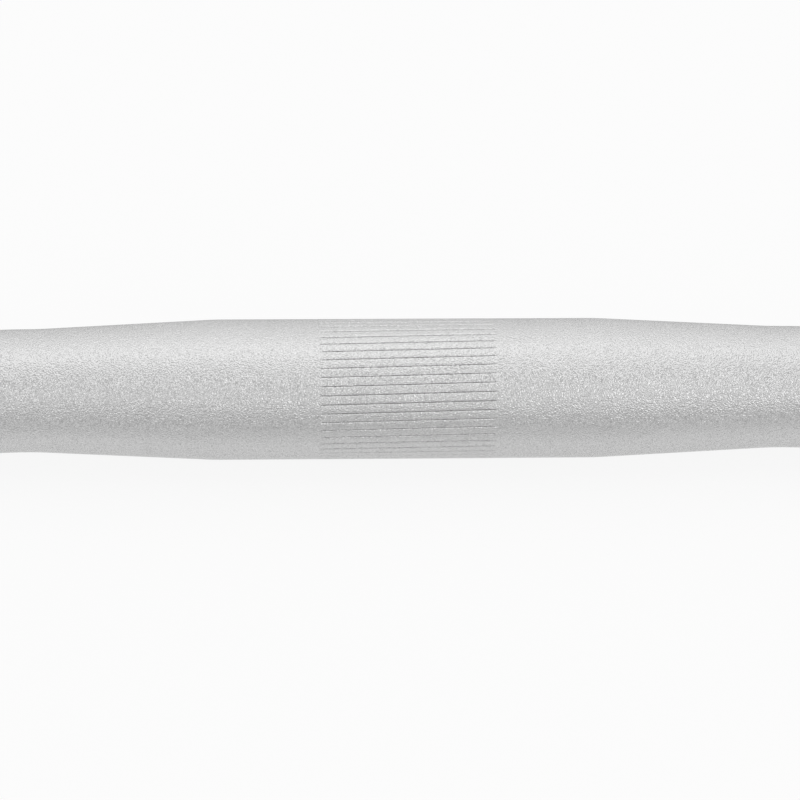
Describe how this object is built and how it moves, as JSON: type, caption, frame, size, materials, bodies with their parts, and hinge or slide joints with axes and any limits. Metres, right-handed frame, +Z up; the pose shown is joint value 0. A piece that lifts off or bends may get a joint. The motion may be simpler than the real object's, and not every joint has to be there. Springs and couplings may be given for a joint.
{
  "type": "flat handlebar",
  "caption": "Flat bicycle handlebar: a satin aluminium tube, thicker at the stem clamp with a band of fine skewed grooves, tapering to slightly swept-back grips with open ends.",
  "frame": {"origin": "the middle of the clamp section, on its axis", "axes": "+X along the clamp's axis towards the right grip, -Y the way the grips sweep back, +Z up from the table that the bar lies on"},
  "size_m": [0.5822, 0.0464, 0.0254],
  "materials": {
    "blasted_aluminium": "bead-blasted and clear anodised, satin, fine even grain"
  },
  "bodies": {
    "root": {"handlebar": "blasted_aluminium"}
  },
  "joints": []
}
